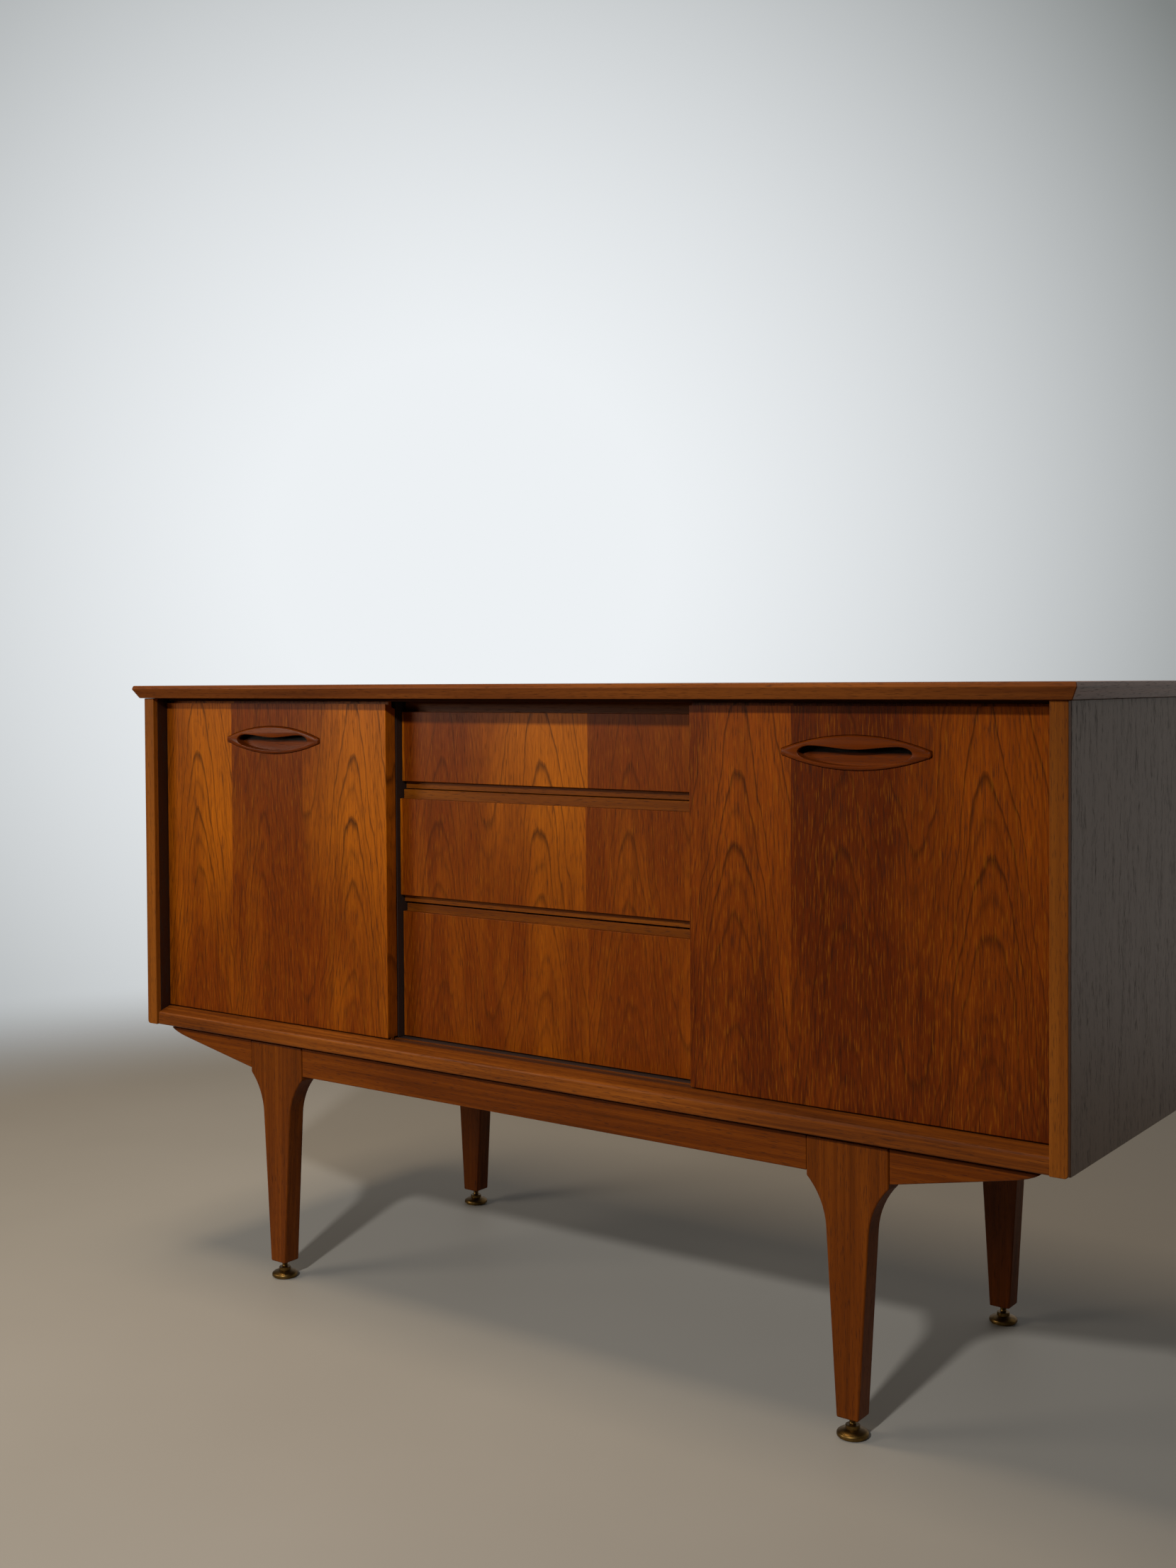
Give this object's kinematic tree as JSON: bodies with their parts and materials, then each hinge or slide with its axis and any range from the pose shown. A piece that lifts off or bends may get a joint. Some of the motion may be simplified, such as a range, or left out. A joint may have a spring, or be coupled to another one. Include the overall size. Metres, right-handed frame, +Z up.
{
  "type": "sideboard buffet",
  "caption": "Low teak sideboard with sliding doors over a drawer bank, shelved cupboards and a legged frame on adjustable glides.",
  "frame": {"origin": "on the floor, under the middle of the piece's outer box", "axes": "+Z up, +X to the right along the front, the front faces -Y"},
  "size_m": [1.372, 0.4638, 0.797],
  "materials": {
    "teak_veneer": "satin lacquered teak veneer, grain upright on doors and drawer faces",
    "teak_solid": "satin lacquered solid teak",
    "side_veneer": "satin lacquered veneer, grain upright, with open dark pores",
    "inner_veneer": "plain mahogany-type veneer inside, matt",
    "drawer_wood": "sealed light hardwood",
    "plywood": "thin plywood, matt",
    "track": "brown fibre track",
    "glide_brass": "antiqued brass plate, dulled"
  },
  "bodies": {
    "carcass": {"top_board": "teak_veneer", "top_edge_front": "teak_solid", "top_edge_left": "teak_solid", "top_edge_right": "teak_solid", "side_panel_left": "side_veneer", "side_lipping_left": "teak_solid", "divider_left": "inner_veneer", "shelf_left": "inner_veneer", "frame_cross_rail_left": "teak_solid", "runner_top_left": "drawer_wood", "runner_middle_left": "drawer_wood", "bracket_front_left": "teak_solid", "leg_front_left": "teak_solid", "bracket_back_left": "teak_solid", "leg_back_left": "teak_solid", "side_panel_right": "side_veneer", "side_lipping_right": "teak_solid", "divider_right": "inner_veneer", "shelf_right": "inner_veneer", "frame_cross_rail_right": "teak_solid", "runner_top_right": "drawer_wood", "runner_middle_right": "drawer_wood", "bracket_front_right": "teak_solid", "leg_front_right": "teak_solid", "bracket_back_right": "teak_solid", "leg_back_right": "teak_solid", "bottom_panel": "inner_veneer", "bottom_rail": "teak_solid", "back_panel": "plywood", "upper_track": "track", "lower_track": "track", "frame_rail_front": "teak_solid", "frame_rail_back": "teak_solid"},
    "door_left_body": {"door_left": "teak_veneer", "handle_left": "teak_solid"},
    "door_right_body": {"door_right": "teak_veneer", "handle_right": "teak_solid"},
    "drawer_top_body": {"drawer_top_face": "teak_veneer", "drawer_top_front": "teak_solid", "drawer_top_side_left": "drawer_wood", "drawer_top_side_right": "drawer_wood", "drawer_top_back": "drawer_wood", "drawer_top_bottom": "plywood"},
    "drawer_middle_body": {"drawer_middle_face": "teak_veneer", "drawer_middle_front": "teak_solid", "drawer_middle_side_left": "drawer_wood", "drawer_middle_side_right": "drawer_wood", "drawer_middle_back": "drawer_wood", "drawer_middle_bottom": "plywood"},
    "drawer_bottom_body": {"drawer_bottom_face": "teak_veneer", "drawer_bottom_front": "teak_solid", "drawer_bottom_side_left": "drawer_wood", "drawer_bottom_side_right": "drawer_wood", "drawer_bottom_back": "drawer_wood", "drawer_bottom_bottom": "plywood"},
    "glide_front_left_body": {"glide_front_left": "glide_brass"},
    "glide_front_right_body": {"glide_front_right": "glide_brass"},
    "glide_back_left_body": {"glide_back_left": "glide_brass"},
    "glide_back_right_body": {"glide_back_right": "glide_brass"}
  },
  "joints": [
    {"name": "door_left_slide", "type": "slide", "parent": "carcass", "child": "door_left_body", "axis": [1, 0, 0], "range_m": [0, 0.2295]},
    {"name": "door_right_slide", "type": "slide", "parent": "carcass", "child": "door_right_body", "axis": [-1, 0, 0], "range_m": [0, 0.2295]},
    {"name": "drawer_top_slide", "type": "slide", "parent": "carcass", "child": "drawer_top_body", "axis": [0, 1, 0], "range_m": [-0.27, 0]},
    {"name": "drawer_middle_slide", "type": "slide", "parent": "carcass", "child": "drawer_middle_body", "axis": [0, 1, 0], "range_m": [-0.27, 0.0045]},
    {"name": "drawer_bottom_slide", "type": "slide", "parent": "carcass", "child": "drawer_bottom_body", "axis": [0, 1, 0], "range_m": [-0.27, 0]},
    {"name": "glide_front_left_height", "type": "slide", "parent": "carcass", "child": "glide_front_left_body", "axis": [0, 0, 1], "range_m": [-0.012, 0.005]},
    {"name": "glide_front_right_height", "type": "slide", "parent": "carcass", "child": "glide_front_right_body", "axis": [0, 0, 1], "range_m": [-0.012, 0.005]},
    {"name": "glide_back_left_height", "type": "slide", "parent": "carcass", "child": "glide_back_left_body", "axis": [0, 0, 1], "range_m": [-0.012, 0.005]},
    {"name": "glide_back_right_height", "type": "slide", "parent": "carcass", "child": "glide_back_right_body", "axis": [0, 0, 1], "range_m": [-0.012, 0.005]}
  ]
}
